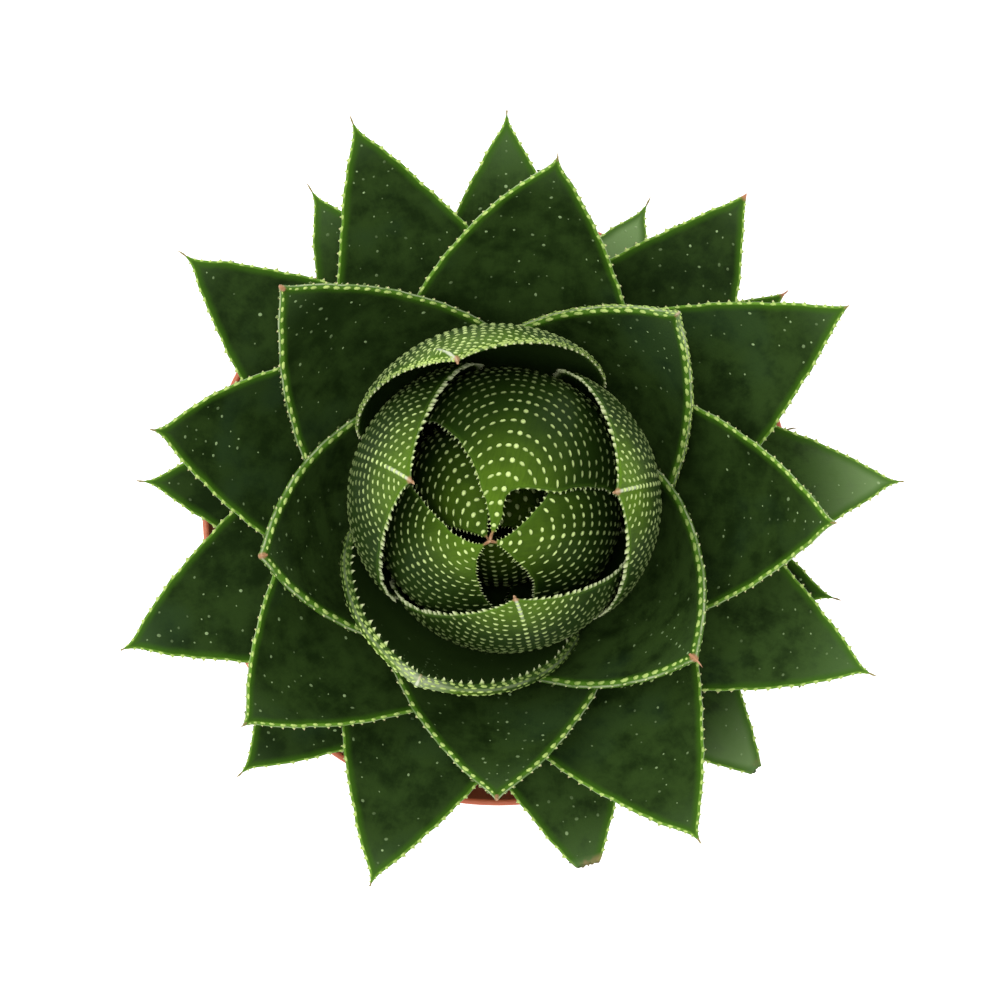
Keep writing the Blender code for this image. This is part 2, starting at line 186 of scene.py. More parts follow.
tipReach = {  # how far a tip stands from the plant's middle, in millimetres
    11: 33.5, 13: 43.7, 14: 44, 15: 46.8, 16: 53, 17: 56, 18: 60, 19: 61.5, 20: 64, 21: 71, 22: 66,
    23: 73.5, 24: 75, 25: 77, 26: 76.5, 27: 77, 28: 75, 29: 75.8, 30: 77.5, 31: 77, 32: 72.5, 33: 76,
    34: 75, 35: 70.5, 36: 69, 37: 58, 38: 72.5, 39: 68.5, 40: 60, 41: 66.5, 42: 54, 43: 54, 44: 59.5,
}
leafTurn = {  # degrees off the even spiral, anticlockwise
    3: 10, 4: 12, 5: 5, 6: 9, 7: 9, 8: -8, 9: 9, 10: -6, 11: 8, 12: 3, 14: 8, 15: 1, 17: 4, 18: 3,
    19: 4, 20: 2, 21: -1, 22: 4, 23: 3.5, 24: 2, 26: 1.5, 27: 4.5, 28: -7, 29: 2, 30: -2, 31: -3,
    32: -3, 33: -2, 36: -2, 37: -3, 38: -2.5, 39: -2, 41: -7, 44: -4,
}
fuller = {  # millimetres wider on the anticlockwise side, and on the clockwise side
    7: (0, 5), 18: (1.5, 0), 19: (1, 2), 20: (4.8, 0), 21: (0, 1.2), 22: (0, 4.7), 23: (1.5, 0),
    24: (0, 1.4), 26: (0, 3.2), 27: (0, 3.9), 28: (0, 3.7), 30: (1.0, 1.2), 31: (1.0, 0), 32: (3.0, 0), 38: (1.4, 0),
    41: (1.5, 0),
}
notch = {7: (4.4, 8.2, 3.6)}  # the clockwise side cut in: how deep, how far from the tip and how wide
keel = {8: 0.3, 9: 0.6, 10: 0.6, 11: 0.5, 12: 1.0, 15: 0.3}  # the raised fold behind the tip
brokenAt = {29: 0.92, 34: 0.94}  # the share of the length that is left
bluntTips = (23, 28, 36)  # not drawn out to a point
tipColour = {28: 1.0, 36: 1.0, 17: 0.8, 14: 0.7, 13: 0.8, 11: 0.0, 15: 0.2}  # how far a tip has dried pink
tipSpine = {  # the length of the spine in millimetres, where it isn't the usual one
    8: 0.9, 9: 0.9, 10: 0.9, 11: 0, 12: 1.4, 13: 2.6, 14: 0.6, 15: 0, 16: 0.9, 17: 0.7, 23: 0.6, 28: 0, 36: 0.9,
}
spineOutward = {12: 0.3, 13: 2.5, 14: 0.8, 17: 0.5}  # how strongly a spine turns away from the middle
paintedLightShare = {  # painted light: leaves whose faces are lightened for the light they catch and let through
    11: 0.1, 12: 0.1, 13: 0.6, 14: 0.4, 15: 0.25, 16: 0.35, 17: 0.2, 18: 0.15, 19: 0.2, 20: 0.2, 21: 0.4,
    23: 0.38, 24: 0.32, 25: 0.22, 26: 0.8, 27: 0.15, 28: 0.08, 29: 0.7, 30: 0.12, 31: 1.25, 33: 0.75, 34: 1.15,
    38: 0.6, 41: 2.0,
}
shaded = {2: 0.6, 3: 0.6, 4: 0.62, 5: 0.5, 6: 0.32, 7: 0.22, 8: 0.2, 9: 0.18, 10: 0.1}  # painted shade: backs darkened leaf by leaf where the bud shadows them
tipBend = {12: 2.4}  # millimetres that a tip leans to the anticlockwise side
keelSlant = {12: 0.5}  # how far the fold runs to that side for every millimetre from the tip
bud = {"x": -2.2, "y": -6.3, "radius": 13.0, "low": 148.0, "high": 186.0}  # the heart leans off the axis


def smooth(table, at):
    x = np.array([point[0] for point in table], float)
    y = np.array([point[1] for point in table], float)
    step = np.diff(x)
    slope = np.diff(y) / step
    tangent = np.concatenate([slope[:1], np.zeros(len(x) - 2), slope[-1:]])
    for i in range(1, len(x) - 1):
        if slope[i - 1] * slope[i] > 0:
            left, right = 2 * step[i] + step[i - 1], step[i] + 2 * step[i - 1]
            tangent[i] = (left + right) / (left / slope[i - 1] + right / slope[i])
    at = min(max(float(at), x[0]), x[-1])
    i = min(int(np.searchsorted(x, at, side="right")) - 1, len(x) - 2)
    t = (at - x[i]) / step[i]
    return float(
        (2 * t**3 - 3 * t**2 + 1) * y[i] + (t**3 - 2 * t**2 + t) * step[i] * tangent[i]
        + (3 * t**2 - 2 * t**3) * y[i + 1] + (t**3 - t**2) * step[i] * tangent[i + 1]
    )


def ease(value, low, high):
    t = np.clip((value - low) / (high - low), 0, 1)
    return t * t * (3 - 2 * t)


class Leaf:
    def __init__(self, number, rng):
        self.number = number
        self.at = {key: smooth(table, number) for key, table in leafForm.items()}
        fine = np.linspace(0, 1, 401)
        bent = 1 - (1 - fine ** self.at["lateBend"]) ** self.at["earlyBend"]
        lean = np.radians(self.at["baseLean"] + (self.at["tipLean"] - self.at["baseLean"]) * bent)
        out = (np.cos(lean)[1:] + np.cos(lean)[:-1]) / 2
        up = (np.sin(lean)[1:] + np.sin(lean)[:-1]) / 2
        start = self.at["stemRadius"] + plant["gap"]
        self.length = (tipReach[number] - start) / out.mean() if number in tipReach else self.at["length"]
        piece = self.length / len(out)
        self.fine, self.lean = fine, lean
        self.radius = start + piece * np.concatenate([[0], np.cumsum(out)])
        self.height = self.at["baseHeight"] + piece * np.concatenate([[0], np.cumsum(up)])
        turn = plant["firstDirection"] - plant["turnEachLeaf"] * (number - 1) + leafTurn.get(number, 0)
        self.direction = math.radians(turn)
        self.end = brokenAt.get(number, 1.0)
        self.waves = [(rng.uniform(0, 6.3), rng.uniform(0, 6.3), 6.3 / wave) for wave in plant["waves"]]

    def tipDistance(self, share):
        return (1 - np.asarray(share, float)) * self.length

    def halfWidth(self, share, side=1.0):
        share = np.asarray(share, float)
        widest, widestAt = self.at["halfWidth"], self.at["widestAt"]
        clasp = (self.at["stemRadius"] + plant["gap"]) * math.radians(self.at["clasp"])
        inner = clasp + (widest - clasp) * np.sin(np.pi / 2 * np.clip(share / widestAt, 0, 1))
        outer = np.clip((share - widestAt) / (1 - widestAt), 0, 1)
        outline = (1 - outer ** self.at["fullness"]) ** self.at["taper"]
        outline = outline * (1 - plant["tipNarrowing"] * outer ** plant["narrowingAt"])
        wide = np.where(share < widestAt, inner, widest * outline)
        left, right = fuller.get(self.number, (0, 0))
        wide = wide + np.where(np.asarray(side) < 0, right, left) * np.sin(np.pi * np.clip(share, 0, 1))
        away = self.tipDistance(share)
        awn = plant["bluntAwn"] if self.number in bluntTips else self.at["awn"]
        wide = wide * (1 - awn * np.exp(-((away / self.at["awnLength"]) ** 2)))
        deep, centre, spread = notch.get(self.number, (0, 1, 1))
        cut = np.where(np.asarray(side) < 0, deep, 0) * np.exp(-(((away - centre) / spread) ** 2))
        wide = np.maximum(wide - cut, np.minimum(wide, 0.5))
        wave = sum(
            np.sin(away * pace + np.where(np.asarray(side) < 0, right, left)) for left, right, pace in self.waves
        )
        return np.maximum(wide + plant["waveHeight"] * wave * ease(away, 2, 9), 0.02)

    def edge(self, share):
        # half the height of the blunt margin, rounded off over the last of the tip
        half = self.at["margin"] / 2
        nose = np.clip(self.tipDistance(share) / (half * 1.6), 0, 1)
        return half * np.sqrt(np.maximum(1 - (1 - nose) ** 2, 0.02)) * (0.35 + 0.65 * ease(share, 0.0, 0.35))

    def thickness(self, share):
        share = np.asarray(share, float)
        towardTip = plant["thinTip"] + (1 - plant["thinTip"]) * np.clip(1 - share, 0, 1) ** plant["tipThinning"]
        body = self.at["thickness"] * towardTip
        body = body * np.minimum(plant["thinBase"] + plant["baseThickening"] * share, 1)
        return np.maximum(body, 2 * self.edge(share))

    def put(self, share, side, depth):
        # a point in the world; depth is measured into the leaf from its upper face
        share, side, depth = np.broadcast_arrays(np.asarray(share, float), side, depth)
        lean = tipBend.get(self.number, 0) * np.exp(-((self.tipDistance(share) / plant["tipBendReach"]) ** 2))
        radius = np.interp(share, self.fine, self.radius)
        height = np.interp(share, self.fine, self.height)
        slope = np.interp(share, self.fine, self.lean)
        across = np.clip(side / self.halfWidth(share, side), -1, 1)
        sink = depth + plant["channel"] * np.sin(np.pi * np.clip(share, 0, 1)) * (1 - across**2)
        z = height - np.cos(slope) * sink
        r = radius + np.sin(slope) * sink
        angle = (side + lean) / np.maximum(radius, 0.8) + self.direction
        rise = ease(z, bud["low"], bud["high"]) * np.exp(-((r / bud["radius"]) ** 2))
        x = r * np.cos(angle) + bud["x"] * rise + plant["x"]
        y = r * np.sin(angle) + bud["y"] * rise + plant["y"]
        return np.stack([x, y, z], -1)

    def upper(self, share, side, lift=0.0):
        return self.put(share, side, -lift)

    def back(self, share, side, lift=0.0):
        side = np.asarray(side, float)
        edge = self.edge(share)
        across = np.clip(np.abs(side) / self.halfWidth(share, side), 0, 1)
        depth = 2 * edge + (self.thickness(share) - 2 * edge) * (1 - across**2)
        return self.put(share, side, depth + lift + self.ridge(share, side))

    def ridge(self, share, side):
        away = self.tipDistance(share)
        fade = ease(away, 0.2, 2.5) * (1 - ease(away, 7, 15))
        return keel.get(self.number, 0) * fade * np.exp(-np.abs(side - self.fold(away)) / 1.1)

    def fold(self, away):
        return keelSlant.get(self.number, 0) * np.minimum(away, plant["foldReach"])

    def rim(self, share, sign, around, lift=0.0):
        # round the blunt margin: around is 0 on the upper face and pi on the back
        half = self.halfWidth(share, sign)
        edge = self.edge(share)
        inset = np.minimum(edge, half * 0.5)
        side = half - inset + (inset + lift) * np.sin(around)
        depth = edge - (edge + lift) * np.cos(around)
        return self.put(share, sign * side, depth)


class Skin:
    # points and faces of one piece, with the values that its material reads at each point
    def __init__(self, *channels):
        self.points, self.faces, self.count = [], [], 0
        self.channels = {name: [] for name in channels}

    def add(self, points, faces, **values):
        points = np.asarray(points, float).reshape(-1, 3)
        self.points.append(points)
        self.faces.append(np.asarray(faces, int) + self.count)
        first = self.count
        self.count += len(points)
        for name, rows in self.channels.items():
            value = np.asarray(values.get(name, 0.0), float).reshape(-1)
            rows.append(np.broadcast_to(value, (len(points),)))
        return first

    def cap(self, first, count, point, flip, **values):
        # a fan of faces from a ring of points to one more point
        hub = self.add([point], np.zeros((0, 3)), **values)
        ring = np.arange(first, first + count)
        pairs = zip(ring, np.roll(ring, -1))
        self.faces.append(np.array([(b, a, hub) if flip else (a, b, hub) for a, b in pairs]))

    def piece(self, name, material, sharp=None):
        data = bpy.data.meshes.new(name)
        faces = [row for block in self.faces for row in block.tolist()]
        points = np.clip(np.concatenate(self.points) * mm, cadBounds[0], cadBounds[1])
        data.from_pydata(points.tolist(), [], faces)
        for channel, rows in self.channels.items():
            layer = data.attributes.new(channel, "FLOAT", "POINT")
            layer.data.foreach_set("value", np.concatenate(rows).astype(np.float32))
        data.materials.append(material)
        data.shade_smooth()
        if sharp is not None:
            data.set_sharp_from_angle(angle=math.radians(sharp))
        data.update()
        return placed(name, data)


def gridFaces(rows, columns):
    # quads between closed rings of points
    i, j = np.meshgrid(np.arange(rows - 1), np.arange(columns), indexing="ij")
    k = (j + 1) % columns
    return np.stack([i * columns + j, (i + 1) * columns + j, (i + 1) * columns + k, i * columns + k], -1).reshape(-1, 4)


leafMesh = {
    "rowEvery": 1.05, "upperColumns": 16, "rimSteps": 7, "backColumns": 27, "backCrowding": 1.4, "crowding": 0.012,
    "tipRows": (0.3, 0.55, 0.8), "leftOff": 0.12, "ragged": 0.35, "dryEdge": 1.3,
}


def leafBody(skin, leaf, rng):
    # upper face, blunt margin, back and the other margin, row after row to the tip
    end = leaf.end if leaf.end < 1 else 1 - leafMesh["leftOff"] / leaf.length
    rows = int(leaf.length * end / leafMesh["rowEvery"])
    shares = np.linspace(0, 1, rows)
    shares = (shares + leafMesh["crowding"] * np.sin(np.pi * shares)) * end
    if leaf.end == 1:
        shares = np.sort(np.append(shares, 1 - np.array(leafMesh["tipRows"]) / leaf.length))
    upper = np.linspace(-1, 1, leafMesh["upperColumns"])
    around = np.linspace(0, math.pi, leafMesh["rimSteps"] + 2)[1:-1]
    back = np.linspace(1, -1, leafMesh["backColumns"])
    back = np.sign(back) * np.abs(back) ** leafMesh["backCrowding"]
    rings, sides, widths = [], [], []
    for share in shares:
        flats = []
        for row in (upper, back):
            half = leaf.halfWidth(share, row)
            flats.append(row * (half - np.minimum(leaf.edge(share), half * 0.5)))
        right, left = leaf.halfWidth(share, 1.0), leaf.halfWidth(share, -1.0)
        rings.append(np.concatenate([
            leaf.upper(share, flats[0]), leaf.rim(share, 1.0, around),
            leaf.back(share, flats[1]), leaf.rim(share, -1.0, around[::-1]),
        ]))
        sides.append(np.concatenate([flats[0], np.full(len(around), right), flats[1], np.full(len(around), -left)]))
        widths.append(np.where(sides[-1] < 0, left, right))
    columns = len(rings[0])
    # the clasping base sits on the stem
    centre = np.array([plant["x"], plant["y"]])
    arm = rings[0][:, :2] - centre
    onStem = leaf.at["stemRadius"] + plant["stemGap"]
    rings[0][:, :2] = centre + arm / np.linalg.norm(arm, axis=1, keepdims=True) * onStem
    if leaf.end < 1:
        ragged = rng.normal(0, leafMesh["ragged"], columns)
        along = (rings[-1] - rings[-2]) / np.linalg.norm(rings[-1] - rings[-2], axis=1, keepdims=True)
        rings[-1] += along * (np.convolve(np.tile(ragged, 3), np.ones(3) / 3, "same")[columns:2 * columns, None] - 0.5)
    isBack = np.concatenate([np.zeros(len(upper)), around / math.pi, np.ones(len(back)), around[::-1] / math.pi])
    side, width = np.array(sides), np.array(widths)
    fold = side - leaf.fold(leaf.tipDistance(shares))[:, None]
    dry = (leaf.end < 1) & (shares > leaf.end - leafMesh["dryEdge"] / leaf.length)
    first = skin.add(
        np.concatenate(rings), gridFaces(len(rings), columns), age=leaf.number, side=side.ravel(), fold=fold.ravel(),
        back=np.tile(isBack, len(rings)), rim=np.maximum(width - np.abs(side), 0).ravel(),
        tipDistance=np.repeat(leaf.tipDistance(shares), columns),
        dry=np.repeat(dry * 1.0, columns),
    )
    last = first + (len(rings) - 1) * columns
    if leaf.end < 1:
        sunken = rings[-1].mean(0) * 0.9 + rings[-3].mean(0) * 0.1
        skin.cap(last, columns, sunken, flip=True, dry=1.0, rim=5.0, back=0.5)
    else:
        skin.cap(last, columns, leaf.put(1.0, 0.0, leaf.edge(1.0)), flip=True, age=leaf.number, back=0.5)
    skin.cap(first, columns, rings[0].mean(0), flip=False, age=leaf.number, rim=9.0, tipDistance=leaf.length)


def raised(skin, leaf, surface, places, value):
    # oval beads on a face of the leaf: places has share, side, turn, long, wide and high for each
    if not places:
        return
    levels = (1.0, -0.12), (0.66, 0.7), (0.0, 1.0)  # share of the outline, and of the height
    share, side, turn, long, wide, high = [column[:, None] for column in np.array(places).T]
    corners = np.arange(7) / 7 * 2 * math.pi
    layers = []
    for reach, lift in levels:
        ring = corners if reach else corners[:1]
        over, along = np.cos(ring) * reach * long / 2, np.sin(ring) * reach * wide / 2
        dx = over * np.cos(turn) - along * np.sin(turn)
        dy = over * np.sin(turn) + along * np.cos(turn)
        at = np.clip(share + dy / leaf.length, 0.0, 1.0)
        layers.append(surface(at, side + dx, high * lift))
    n, size = len(corners), 2 * len(corners) + 1
    pattern = []
    for j in range(n):
        k = (j + 1) % n
        pattern += [(j, k, n + k), (j, n + k, n + j), (n + j, n + k, 2 * n)]
    pattern = np.array(pattern)
    isBack = surface == leaf.back
    faces = (pattern if isBack else pattern[:, ::-1])[None] + (np.arange(len(share)) * size)[:, None, None]
    pale = np.concatenate([np.full(n, 0.15), np.full(n + 1, 1.0)])[None] * np.array(value)[:, None]
    spread = np.ones((1, size))
    skin.add(
        np.concatenate(layers, axis=1), faces.reshape(-1, 3), pale=pale, age=leaf.number, back=float(isBack),
        side=side * spread, tipDistance=leaf.tipDistance(share) * spread, rim=3.0, fold=9.0,
    )


studs = {
    "first": 1.9, "reach": 48.0, "pitch": 2.3, "pitchAtTip": 1.7, "spacing": 1.5, "height": 0.24, "arc": 1.57,
    "lowest": 0.1, "fromMargin": 0.3, "fromEnd": 1.5, "missing": 0.05, "missingWhenOld": 0.55,
}


def backStuds(skin, leaf, rng):
    # pale studs in arcs round the tip, round along the keel and drawn out along the arc elsewhere
    missing = studs["missing"] + studs["missingWhenOld"] * float(ease(leaf.number, 17, 21))
    places, value = [], []
    away = studs["first"]
    while away < min(studs["reach"], leaf.length * 0.78):
        spacing = studs["spacing"] * rng.uniform(0.92, 1.12)
        count = int(away * studs["arc"] / spacing)
        for i in range(-count, count + 1):
            angle = i * spacing / away + rng.normal(0, 0.1) / away * (i != 0)
            reach = away + rng.normal(0, 0.04)
            side, share = reach * math.sin(angle), 1 - reach * math.cos(angle) / leaf.length
            half = float(leaf.halfWidth(share, side))
            onLeaf = studs["lowest"] <= share <= leaf.end - studs["fromEnd"] / leaf.length
            if not onLeaf or abs(side) > half - studs["fromMargin"] or rng.random() < missing:
                continue
            middle = math.exp(-((side / 0.9) ** 2))
            near = math.exp(-away / 14)
            long = (rng.uniform(0.95, 1.3) - 0.2 * near) * (1 - middle) + 1.0 * middle
            wide = (rng.uniform(0.44, 0.56) + 0.2 * near) * (1 - middle) + 0.95 * middle
            small = 0.75 + 0.25 * min(away / 6, 1)
            places.append((share, side, angle, long * small, wide * small, studs["height"] * rng.uniform(0.8, 1.2)))
            value.append(min(1.0, rng.uniform(0.6, 1.0) + 0.3 * middle) * (1.05 - missing))
        away += studs["pitchAtTip"] + (studs["pitch"] - studs["pitchAtTip"]) * min(away / 9, 1)
    raised(skin, leaf, leaf.back, places, value)


freckles = {
    "first": 3.2, "pitch": 2.4, "spacing": 2.2, "reach": 46.0, "height": 0.08, "arc": 1.1, "lowest": 0.2,
    "fromMargin": 1.9, "fromEnd": 1.5,
}


def faceFreckles(skin, leaf, rng):
    # a few small pale freckles on the upper face, most of them along the middle and toward the tip
    places, value = [], []
    away = freckles["first"]
    while away < min(freckles["reach"], leaf.length * 0.75):
        count = int(away * freckles["arc"] / freckles["spacing"])
        for i in range(-count, count + 1):
            angle = (i + rng.uniform(-0.35, 0.35) * (i != 0)) * freckles["spacing"] / away
            reach = away + rng.normal(0, 0.3)
            side, share = reach * math.sin(angle), 1 - reach * math.cos(angle) / leaf.length
            if not freckles["lowest"] <= share <= leaf.end - freckles["fromEnd"] / leaf.length:
                continue
            if abs(side) > float(leaf.halfWidth(share, side)) - freckles["fromMargin"]:
                continue
            keep = 0.75 * math.exp(-away / 17) + 0.4 * math.exp(-((side / 1.4) ** 2)) * math.exp(-away / 40)
            if rng.random() > keep:
                continue
            size = 0.3 + 0.5 * rng.random() ** 2
            places.append((share, side, rng.uniform(0, 3.1), size * rng.uniform(1.0, 1.4), size, freckles["height"]))
            value.append(0.2 + 0.75 * rng.random() ** 1.4)
        away += freckles["pitch"]
    raised(skin, leaf, leaf.upper, places, value)


teeth = {
    "inner": {"every": 1.15, "long": 0.55, "foot": 0.5, "beadLong": 0.7, "beadWide": 0.4},
    "young": {"every": 1.3, "long": 1.3, "foot": 0.8, "beadLong": 0.85, "beadWide": 0.5},
    "upright": {"every": 1.95, "long": 0.55, "foot": 0.7, "beadLong": 1.4, "beadWide": 1.1},
    "old": {"every": 1.85, "long": 0.5, "foot": 0.6, "beadLong": 1.2, "beadWide": 0.75},
}
toothStages = {1: "inner", 7: "inner", 8: "young", 10: "young", 13: "upright", 15: "upright", 19: "old", 44: "old"}


def marginTeeth(skin, leaf, rng):
    # a bead and a hooked tooth at every step along both margins
    kinds = [teeth[kind] for kind in toothStages.values()]
    size = {key: float(np.interp(leaf.number, list(toothStages), [kind[key] for kind in kinds])) for key in kinds[0]}
    for sign in (-1.0, 1.0):
        along = leaf.length * 0.13 + rng.uniform(0, 1)
        while along < leaf.length * leaf.end - 1.3:
            toTip = leaf.length - along
            small = min(1.0, 0.5 + toTip / 16)
            scale = small * rng.uniform(0.78, 1.18)
            share = along / leaf.length
            turn, beadTurn = (math.pi * leaf.at[key] + rng.normal(0, 0.05) for key in ("toothTurn", "beadTurn"))
            value = rng.uniform(0.7, 1.0)
            bead(skin, leaf, sign, share, beadTurn, size["beadLong"] * scale, size["beadWide"] * small, value)
            tooth(skin, leaf, sign, share, turn, size["foot"] * scale, size["long"] * scale * rng.uniform(0.8, 1.2))
            along += size["every"] * small * rng.uniform(0.85, 1.18)


def cone(skin, leaf, sign, share, turn, rings, **values):
    # rings has reach along the margin, reach round it, lift and lean for each ring, the last one a point
    corners = np.arange(6) / 6 * 2 * math.pi
    edge = float(leaf.edge(share))
    layers = []
    for along, over, lift, lean in rings:
        ring = corners if along else corners[:1]
        at = np.clip(share + (np.cos(ring) * along + lean) / leaf.length, 0, 1)
        layers.append(leaf.rim(at, sign, turn + np.sin(ring) * over / max(edge, 0.3), lift))
    n = len(corners)
    faces = []
    for j in range(n):
        k = (j + 1) % n
        for level in range(len(rings) - 2):
            a = level * n
            faces += [(a + j, a + k, a + n + k), (a + j, a + n + k, a + n + j)]
        a = (len(rings) - 2) * n
        faces.append((a + j, a + k, a + n))
    faces = np.array(faces)
    skin.add(
        np.concatenate(layers), faces if sign > 0 else faces[:, ::-1], age=leaf.number, back=0.3,
        side=sign * float(leaf.halfWidth(share, sign)), tipDistance=float(leaf.tipDistance(share)), **values,
    )


def bead(skin, leaf, sign, share, turn, long, wide, value):
    wide = min(wide, 2.8 * float(leaf.edge(share)))
    rings = ((long / 2, wide / 2, -0.05, 0), (long * 0.38, wide * 0.38, 0.1, 0), (0, 0, 0.15, 0))
    cone(skin, leaf, sign, share, turn, rings, pale=np.array([0.25] * 6 + [0.9] * 7) * value)


def tooth(skin, leaf, sign, share, turn, foot, long):
    rings = (
        (foot / 2, foot * 0.3, -0.05, 0),
        (foot * 0.27, foot * 0.18, long * 0.45, long * 0.1),
        (0, 0, long, long * 0.4),
    )
    pale, hard = [0.2] * 6 + [0.6] * 7, [0.2] * 6 + [0.7] * 6 + [1.0]
    cone(skin, leaf, sign, share, turn, rings, pale=pale, tooth=hard)


def spine(skin, leaf, rng):
    # the hard point at the tip, kept inside the CAD part's box
    tip, before = leaf.put(1.0, 0.0, leaf.edge(1.0)), leaf.put(1 - 1.2 / leaf.length, 0.0, leaf.edge(1.0))
    outward = np.array([math.cos(leaf.direction), math.sin(leaf.direction), 0]) * spineOutward.get(leaf.number, 0)
    ahead = (tip - before) / np.linalg.norm(tip - before) + outward
    ahead /= np.linalg.norm(ahead)
    side = np.cross(ahead, (0, 0, 1.0))
    side /= np.linalg.norm(side)
    over = np.cross(side, ahead)
    old = leaf.number > plant["lastUpright"]
    long = tipSpine.get(leaf.number, rng.uniform(0.8, 1.5) if old else 0.5)
    hook = side * rng.uniform(-0.25, 0.25) + over * rng.uniform(-0.1, 0.2)
    low, high = np.array(cadBounds) / mm
    while long > 0.1 and (np.any(tip + ahead * long < low) or np.any(tip + ahead * long > high)):
        long -= 0.1
    turns = np.arange(8) / 8 * 2 * math.pi
    rings = []
    stout = 0.19 if old else 0.3
    for at, wide in ((-0.9, stout * 0.8), (-0.1, stout), (long * 0.4, stout * 0.7), (long * 0.8, stout * 0.3)):
        middle = tip + ahead * at + hook * max(at, 0) ** 2 / long
        rings.append(middle + wide * (np.cos(turns)[:, None] * side + np.sin(turns)[:, None] * over * 0.8))
    dark = np.repeat([0.0, 0.3, 0.6, 1.0], len(turns))
    first = skin.add(np.concatenate(rings), gridFaces(len(rings), len(turns)), tooth=dark, age=leaf.number)
    last = first + (len(rings) - 1) * len(turns)
    skin.cap(last, len(turns), tip + ahead * long + hook * long, flip=True, tooth=1.0, age=leaf.number)


def marginRows(skin, leaf, rng):
    # the broad margins of the upright leaves carry slanting rows of small beads
    for sign in (-1.0, 1.0):
        along = leaf.length * 0.2
        while along < leaf.length - 0.8:
            for k, around in enumerate((0.42, 0.62, 0.84)):
                share = (along + k * 0.35) / leaf.length
                if share >= 1 - 0.4 / leaf.length or rng.random() < 0.12:
                    continue
                long = rng.uniform(0.7, 1.15)
                rings = ((long / 2, 0.23, -0.04, 0), (long * 0.36, 0.16, 0.1, 0), (0, 0, 0.13, 0))
                pale = np.array([0.2] * 6 + [1.0] * 7) * rng.uniform(0.6, 1.0)
                cone(skin, leaf, sign, share, math.pi * around, rings, pale=pale)
            along += rng.uniform(1.05, 1.35)


leafLook = {
    "face": (0.0086, 0.0200, 0.0036), "faceLight": (0.0200, 0.0420, 0.0075), "faceBlueSheen": (0.0165, 0.0370, 0.0145),
    "paintedLightFace": (0.0440, 0.0880, 0.0180), "tip": (0.0850, 0.1600, 0.0480), "youngFaceAndFill": (0.0300, 0.0640, 0.0120),
    "paintedLightPallid": (0.2100, 0.3300, 0.1250), "back": (0.0960, 0.1850, 0.0090), "backDarkAndShade": (0.0120, 0.0290, 0.0030),
    "oldBack": (0.0300, 0.0720, 0.0100),
    "glow": (0.0420, 0.1200, 0.0060), "edge": (0.1150, 0.2450, 0.0230), "cartilage": (0.4000, 0.4600, 0.2700),
    "bead": (0.5200, 0.6700, 0.1900), "stud": (0.5600, 0.6900, 0.2600), "freckle": (0.3100, 0.4300, 0.2000),
    "tooth": (0.6200, 0.6600, 0.4000), "pink": (0.4700, 0.1900, 0.1150), "straw": (0.3000, 0.2000, 0.1000),
    "white": (0.6200, 0.6600, 0.4800), "roughness": 0.48, "specular": 0.05,
}


